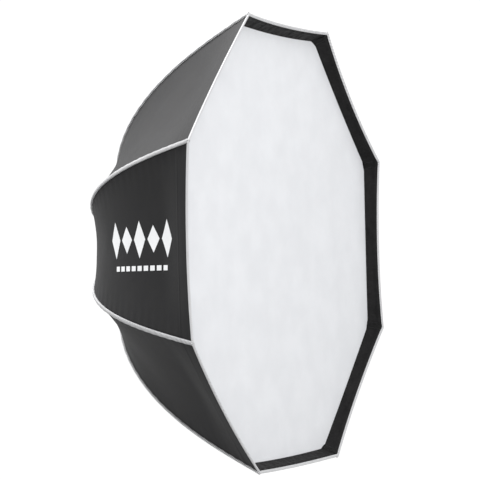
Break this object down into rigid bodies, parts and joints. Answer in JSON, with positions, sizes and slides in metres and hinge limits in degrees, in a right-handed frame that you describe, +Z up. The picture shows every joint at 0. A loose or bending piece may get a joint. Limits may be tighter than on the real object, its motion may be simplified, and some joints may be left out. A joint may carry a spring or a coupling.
{
  "type": "studio softbox",
  "caption": "Octagonal folding studio softbox: bowed ribs hinged on a rotating bayonet hub, black fabric panels, white inner and front diffusers.",
  "frame": {"origin": "centre of the mount flange rear seating face", "axes": "+Z up, -Y the way the light leaves, +Y towards the lamp, +X to the right seen from the front"},
  "size_m": [1.1086, 0.4955, 1.1086],
  "materials": {
    "bayonet_flange": "satin machined",
    "retaining_ring": "satin black",
    "retaining_screw_1": "satin",
    "retaining_screw_2": "satin",
    "retaining_screw_3": "satin",
    "hub_ring": "satin black",
    "rear_cover": "moulded",
    "hinge_pin_1": "satin",
    "hinge_pin_2": "satin",
    "hinge_pin_3": "satin",
    "hinge_pin_4": "satin",
    "hinge_pin_5": "satin",
    "hinge_pin_6": "satin",
    "hinge_pin_7": "satin",
    "hinge_pin_8": "satin",
    "front_border": "woven",
    "rim_binding": "woven tape",
    "front_diffuser": "woven",
    "inner_diffuser": "woven",
    "swivel_lock_knob": "moulded",
    "rib_rod_1": "drawn fibre rod",
    "rib_root_1": "moulded",
    "gore_panel_1": "woven",
    "corner_tab_1": "woven",
    "inner_strap_1": "woven",
    "rib_rod_2": "drawn fibre rod",
    "rib_root_2": "moulded",
    "gore_panel_2": "woven",
    "corner_tab_2": "woven",
    "inner_strap_2": "woven",
    "rib_rod_3": "drawn fibre rod",
    "rib_root_3": "moulded",
    "gore_panel_3": "woven",
    "corner_tab_3": "woven",
    "inner_strap_3": "woven",
    "rib_rod_4": "drawn fibre rod",
    "rib_root_4": "moulded",
    "gore_panel_4": "woven",
    "corner_tab_4": "woven",
    "inner_strap_4": "woven",
    "rib_rod_5": "drawn fibre rod",
    "rib_root_5": "moulded",
    "gore_panel_5": "woven",
    "corner_tab_5": "woven",
    "inner_strap_5": "woven",
    "rib_rod_6": "drawn fibre rod",
    "rib_root_6": "moulded",
    "gore_panel_6": "woven",
    "corner_tab_6": "woven",
    "inner_strap_6": "woven",
    "rib_rod_7": "drawn fibre rod",
    "rib_root_7": "moulded",
    "gore_panel_7": "woven",
    "corner_tab_7": "woven",
    "inner_strap_7": "woven",
    "rib_rod_8": "drawn fibre rod",
    "rib_root_8": "moulded",
    "gore_panel_8": "woven",
    "corner_tab_8": "woven",
    "inner_strap_8": "woven"
  },
  "bodies": {
    "mount": {"bayonet_flange": "bayonet_flange", "retaining_ring": "retaining_ring", "retaining_screw_1": "retaining_screw_1", "retaining_screw_2": "retaining_screw_2", "retaining_screw_3": "retaining_screw_3"},
    "hub": {"hub_ring": "hub_ring", "rear_cover": "rear_cover", "hinge_pin_1": "hinge_pin_1", "hinge_pin_2": "hinge_pin_2", "hinge_pin_3": "hinge_pin_3", "hinge_pin_4": "hinge_pin_4", "hinge_pin_5": "hinge_pin_5", "hinge_pin_6": "hinge_pin_6", "hinge_pin_7": "hinge_pin_7", "hinge_pin_8": "hinge_pin_8", "front_border": "front_border", "rim_binding": "rim_binding", "front_diffuser": "front_diffuser", "inner_diffuser": "inner_diffuser"},
    "knob": {"swivel_lock_knob": "swivel_lock_knob"},
    "rib_1": {"rib_rod_1": "rib_rod_1", "rib_root_1": "rib_root_1"},
    "panel_1": {"gore_panel_1": "gore_panel_1"},
    "corner_1": {"corner_tab_1": "corner_tab_1"},
    "strap_1": {"inner_strap_1": "inner_strap_1"},
    "rib_2": {"rib_rod_2": "rib_rod_2", "rib_root_2": "rib_root_2"},
    "panel_2": {"gore_panel_2": "gore_panel_2"},
    "corner_2": {"corner_tab_2": "corner_tab_2"},
    "strap_2": {"inner_strap_2": "inner_strap_2"},
    "rib_3": {"rib_rod_3": "rib_rod_3", "rib_root_3": "rib_root_3"},
    "panel_3": {"gore_panel_3": "gore_panel_3"},
    "corner_3": {"corner_tab_3": "corner_tab_3"},
    "strap_3": {"inner_strap_3": "inner_strap_3"},
    "rib_4": {"rib_rod_4": "rib_rod_4", "rib_root_4": "rib_root_4"},
    "panel_4": {"gore_panel_4": "gore_panel_4"},
    "corner_4": {"corner_tab_4": "corner_tab_4"},
    "strap_4": {"inner_strap_4": "inner_strap_4"},
    "rib_5": {"rib_rod_5": "rib_rod_5", "rib_root_5": "rib_root_5"},
    "panel_5": {"gore_panel_5": "gore_panel_5"},
    "corner_5": {"corner_tab_5": "corner_tab_5"},
    "strap_5": {"inner_strap_5": "inner_strap_5"},
    "rib_6": {"rib_rod_6": "rib_rod_6", "rib_root_6": "rib_root_6"},
    "panel_6": {"gore_panel_6": "gore_panel_6"},
    "corner_6": {"corner_tab_6": "corner_tab_6"},
    "strap_6": {"inner_strap_6": "inner_strap_6"},
    "rib_7": {"rib_rod_7": "rib_rod_7", "rib_root_7": "rib_root_7"},
    "panel_7": {"gore_panel_7": "gore_panel_7"},
    "corner_7": {"corner_tab_7": "corner_tab_7"},
    "strap_7": {"inner_strap_7": "inner_strap_7"},
    "rib_8": {"rib_rod_8": "rib_rod_8", "rib_root_8": "rib_root_8"},
    "panel_8": {"gore_panel_8": "gore_panel_8"},
    "corner_8": {"corner_tab_8": "corner_tab_8"},
    "strap_8": {"inner_strap_8": "inner_strap_8"}
  },
  "joints": [
    {"name": "mount_swivel", "type": "hinge", "parent": "mount", "child": "hub", "pos_m": [0, 0, 0], "axis": [0, 1, 0], "continuous": true},
    {"name": "lock_knob_turn", "type": "hinge", "parent": "hub", "child": "knob", "pos_m": [0, 0, -0.081], "axis": [0, 1, 0], "range_deg": [0, 270]},
    {"name": "rib_1_fold", "type": "hinge", "parent": "hub", "child": "rib_1", "pos_m": [0.09701, -0.02, 0.04018], "axis": [0.3827, 0, -0.9239], "range_deg": [0, 46], "deforming": ["front_border", "rim_binding", "front_diffuser", "inner_diffuser"]},
    {"name": "rib_2_fold", "type": "hinge", "parent": "hub", "child": "rib_2", "pos_m": [0.04018, -0.02, 0.09701], "axis": [0.9239, 0, -0.3827], "range_deg": [0, 46]},
    {"name": "rib_3_fold", "type": "hinge", "parent": "hub", "child": "rib_3", "pos_m": [-0.04018, -0.02, 0.09701], "axis": [0.9239, 0, 0.3827], "range_deg": [0, 46]},
    {"name": "rib_4_fold", "type": "hinge", "parent": "hub", "child": "rib_4", "pos_m": [-0.09701, -0.02, 0.04018], "axis": [0.3827, 0, 0.9239], "range_deg": [0, 46]},
    {"name": "rib_5_fold", "type": "hinge", "parent": "hub", "child": "rib_5", "pos_m": [-0.09701, -0.02, -0.04018], "axis": [-0.3827, 0, 0.9239], "range_deg": [0, 46]},
    {"name": "rib_6_fold", "type": "hinge", "parent": "hub", "child": "rib_6", "pos_m": [-0.04018, -0.02, -0.09701], "axis": [-0.9239, 0, 0.3827], "range_deg": [0, 46]},
    {"name": "rib_7_fold", "type": "hinge", "parent": "hub", "child": "rib_7", "pos_m": [0.04018, -0.02, -0.09701], "axis": [-0.9239, 0, -0.3827], "range_deg": [0, 46]},
    {"name": "rib_8_fold", "type": "hinge", "parent": "hub", "child": "rib_8", "pos_m": [0.09701, -0.02, -0.04018], "axis": [-0.3827, 0, -0.9239], "range_deg": [0, 46]},
    {"name": "panel_1_gather", "type": "hinge", "parent": "rib_1", "child": "panel_1", "pos_m": [0.08036, -0.02, 0.08036], "axis": [0.6583, 0.3651, 0.6583], "range_deg": [0, 34.4], "deforming": ["gore_panel_1"]},
    {"name": "panel_2_gather", "type": "hinge", "parent": "rib_2", "child": "panel_2", "pos_m": [0, -0.02, 0.11365], "axis": [0, 0.3651, 0.931], "range_deg": [0, 34.4], "deforming": ["gore_panel_2"]},
    {"name": "panel_3_gather", "type": "hinge", "parent": "rib_3", "child": "panel_3", "pos_m": [-0.08036, -0.02, 0.08036], "axis": [-0.6583, 0.3651, 0.6583], "range_deg": [0, 34.4], "deforming": ["gore_panel_3"]},
    {"name": "panel_4_gather", "type": "hinge", "parent": "rib_4", "child": "panel_4", "pos_m": [-0.11365, -0.02, 0], "axis": [-0.931, 0.3651, 0], "range_deg": [0, 34.4], "deforming": ["gore_panel_4"]},
    {"name": "panel_5_gather", "type": "hinge", "parent": "rib_5", "child": "panel_5", "pos_m": [-0.08036, -0.02, -0.08036], "axis": [-0.6583, 0.3651, -0.6583], "range_deg": [0, 34.4], "deforming": ["gore_panel_5"]},
    {"name": "panel_6_gather", "type": "hinge", "parent": "rib_6", "child": "panel_6", "pos_m": [0, -0.02, -0.11365], "axis": [0, 0.3651, -0.931], "range_deg": [0, 34.4], "deforming": ["gore_panel_6"]},
    {"name": "panel_7_gather", "type": "hinge", "parent": "rib_7", "child": "panel_7", "pos_m": [0.08036, -0.02, -0.08036], "axis": [0.6583, 0.3651, -0.6583], "range_deg": [0, 34.4], "deforming": ["gore_panel_7"]},
    {"name": "panel_8_gather", "type": "hinge", "parent": "rib_8", "child": "panel_8", "pos_m": [0.11365, -0.02, 0], "axis": [0.931, 0.3651, 0], "range_deg": [0, 34.4], "deforming": ["gore_panel_8"]},
    {"name": "corner_1_tilt", "type": "hinge", "parent": "rib_1", "child": "corner_1", "pos_m": [0.52702, -0.447, 0.2183], "axis": [0.3827, 0, -0.9239], "range_deg": [0, 31.8]},
    {"name": "strap_1_tilt", "type": "hinge", "parent": "rib_1", "child": "strap_1", "pos_m": [0.46161, -0.3, 0.19121], "axis": [0.3827, 0, -0.9239], "range_deg": [0, 23.2]},
    {"name": "corner_2_tilt", "type": "hinge", "parent": "rib_2", "child": "corner_2", "pos_m": [0.2183, -0.447, 0.52702], "axis": [0.9239, 0, -0.3827], "range_deg": [0, 31.8]},
    {"name": "strap_2_tilt", "type": "hinge", "parent": "rib_2", "child": "strap_2", "pos_m": [0.19121, -0.3, 0.46161], "axis": [0.9239, 0, -0.3827], "range_deg": [0, 23.2]},
    {"name": "corner_3_tilt", "type": "hinge", "parent": "rib_3", "child": "corner_3", "pos_m": [-0.2183, -0.447, 0.52702], "axis": [0.9239, 0, 0.3827], "range_deg": [0, 31.8]},
    {"name": "strap_3_tilt", "type": "hinge", "parent": "rib_3", "child": "strap_3", "pos_m": [-0.19121, -0.3, 0.46161], "axis": [0.9239, 0, 0.3827], "range_deg": [0, 23.2]},
    {"name": "corner_4_tilt", "type": "hinge", "parent": "rib_4", "child": "corner_4", "pos_m": [-0.52702, -0.447, 0.2183], "axis": [0.3827, 0, 0.9239], "range_deg": [0, 31.8]},
    {"name": "strap_4_tilt", "type": "hinge", "parent": "rib_4", "child": "strap_4", "pos_m": [-0.46161, -0.3, 0.19121], "axis": [0.3827, 0, 0.9239], "range_deg": [0, 23.2]},
    {"name": "corner_5_tilt", "type": "hinge", "parent": "rib_5", "child": "corner_5", "pos_m": [-0.52702, -0.447, -0.2183], "axis": [-0.3827, 0, 0.9239], "range_deg": [0, 31.8]},
    {"name": "strap_5_tilt", "type": "hinge", "parent": "rib_5", "child": "strap_5", "pos_m": [-0.46161, -0.3, -0.19121], "axis": [-0.3827, 0, 0.9239], "range_deg": [0, 23.2]},
    {"name": "corner_6_tilt", "type": "hinge", "parent": "rib_6", "child": "corner_6", "pos_m": [-0.2183, -0.447, -0.52702], "axis": [-0.9239, 0, 0.3827], "range_deg": [0, 31.8]},
    {"name": "strap_6_tilt", "type": "hinge", "parent": "rib_6", "child": "strap_6", "pos_m": [-0.19121, -0.3, -0.46161], "axis": [-0.9239, 0, 0.3827], "range_deg": [0, 23.2]},
    {"name": "corner_7_tilt", "type": "hinge", "parent": "rib_7", "child": "corner_7", "pos_m": [0.2183, -0.447, -0.52702], "axis": [-0.9239, 0, -0.3827], "range_deg": [0, 31.8]},
    {"name": "strap_7_tilt", "type": "hinge", "parent": "rib_7", "child": "strap_7", "pos_m": [0.19121, -0.3, -0.46161], "axis": [-0.9239, 0, -0.3827], "range_deg": [0, 23.2]},
    {"name": "corner_8_tilt", "type": "hinge", "parent": "rib_8", "child": "corner_8", "pos_m": [0.52702, -0.447, -0.2183], "axis": [-0.3827, 0, -0.9239], "range_deg": [0, 31.8]},
    {"name": "strap_8_tilt", "type": "hinge", "parent": "rib_8", "child": "strap_8", "pos_m": [0.46161, -0.3, -0.19121], "axis": [-0.3827, 0, -0.9239], "range_deg": [0, 23.2]}
  ],
  "couplings": [
    {"joint": "rib_2_fold", "follows": "rib_1_fold", "ratio": 1},
    {"joint": "rib_3_fold", "follows": "rib_1_fold", "ratio": 1},
    {"joint": "rib_4_fold", "follows": "rib_1_fold", "ratio": 1},
    {"joint": "rib_5_fold", "follows": "rib_1_fold", "ratio": 1},
    {"joint": "rib_6_fold", "follows": "rib_1_fold", "ratio": 1},
    {"joint": "rib_7_fold", "follows": "rib_1_fold", "ratio": 1},
    {"joint": "rib_8_fold", "follows": "rib_1_fold", "ratio": 1},
    {"joint": "panel_1_gather", "follows": "rib_1_fold", "ratio": 0.74778},
    {"joint": "panel_2_gather", "follows": "rib_1_fold", "ratio": 0.74778},
    {"joint": "panel_3_gather", "follows": "rib_1_fold", "ratio": 0.74778},
    {"joint": "panel_4_gather", "follows": "rib_1_fold", "ratio": 0.74778},
    {"joint": "panel_5_gather", "follows": "rib_1_fold", "ratio": 0.74778},
    {"joint": "panel_6_gather", "follows": "rib_1_fold", "ratio": 0.74778},
    {"joint": "panel_7_gather", "follows": "rib_1_fold", "ratio": 0.74778},
    {"joint": "panel_8_gather", "follows": "rib_1_fold", "ratio": 0.74778},
    {"joint": "corner_1_tilt", "follows": "rib_1_fold", "ratio": 0.68992},
    {"joint": "strap_1_tilt", "follows": "rib_1_fold", "ratio": 0.50355},
    {"joint": "corner_2_tilt", "follows": "rib_1_fold", "ratio": 0.68992},
    {"joint": "strap_2_tilt", "follows": "rib_1_fold", "ratio": 0.50355},
    {"joint": "corner_3_tilt", "follows": "rib_1_fold", "ratio": 0.68992},
    {"joint": "strap_3_tilt", "follows": "rib_1_fold", "ratio": 0.50355},
    {"joint": "corner_4_tilt", "follows": "rib_1_fold", "ratio": 0.68992},
    {"joint": "strap_4_tilt", "follows": "rib_1_fold", "ratio": 0.50355},
    {"joint": "corner_5_tilt", "follows": "rib_1_fold", "ratio": 0.68992},
    {"joint": "strap_5_tilt", "follows": "rib_1_fold", "ratio": 0.50355},
    {"joint": "corner_6_tilt", "follows": "rib_1_fold", "ratio": 0.68992},
    {"joint": "strap_6_tilt", "follows": "rib_1_fold", "ratio": 0.50355},
    {"joint": "corner_7_tilt", "follows": "rib_1_fold", "ratio": 0.68992},
    {"joint": "strap_7_tilt", "follows": "rib_1_fold", "ratio": 0.50355},
    {"joint": "corner_8_tilt", "follows": "rib_1_fold", "ratio": 0.68992},
    {"joint": "strap_8_tilt", "follows": "rib_1_fold", "ratio": 0.50355}
  ]
}
